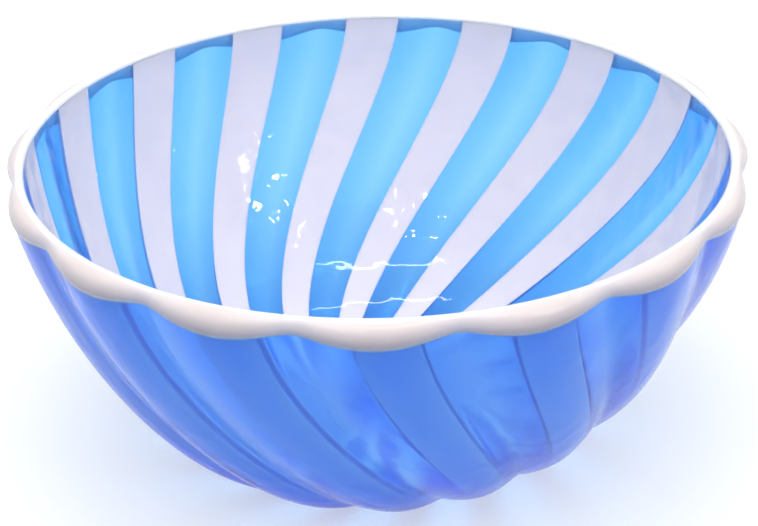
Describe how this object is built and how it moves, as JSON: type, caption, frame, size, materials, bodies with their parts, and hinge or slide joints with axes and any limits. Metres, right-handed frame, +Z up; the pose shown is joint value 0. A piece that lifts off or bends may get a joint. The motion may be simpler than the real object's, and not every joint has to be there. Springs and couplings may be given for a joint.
{
  "type": "art glass bowl",
  "caption": "Round ribbed glass bowl with swirling white canes in clear blue glass and a wrapped white lip.",
  "frame": {"origin": "middle of the flat foot, on the surface that the bowl stands on", "axes": "+Z up along the bowl's axis; the first cane and rib start at the rim close to +X"},
  "size_m": [0.22, 0.22, 0.0965],
  "materials": {
    "blue_glass": "fire-polished transparent blue glass",
    "cane_glass": "opaque white glass, glossy and flush with the wall",
    "lip_glass": "opaque white glass, fire-polished"
  },
  "bodies": {
    "root": {"blue_casing": "blue_glass", "lip_wrap": "lip_glass", "white_cane_01": "cane_glass", "white_cane_02": "cane_glass", "white_cane_03": "cane_glass", "white_cane_04": "cane_glass", "white_cane_05": "cane_glass", "white_cane_06": "cane_glass", "white_cane_07": "cane_glass", "white_cane_08": "cane_glass", "white_cane_09": "cane_glass", "white_cane_10": "cane_glass", "white_cane_11": "cane_glass", "white_cane_12": "cane_glass", "white_cane_13": "cane_glass", "white_cane_14": "cane_glass", "white_cane_15": "cane_glass", "white_cane_16": "cane_glass"}
  },
  "joints": []
}
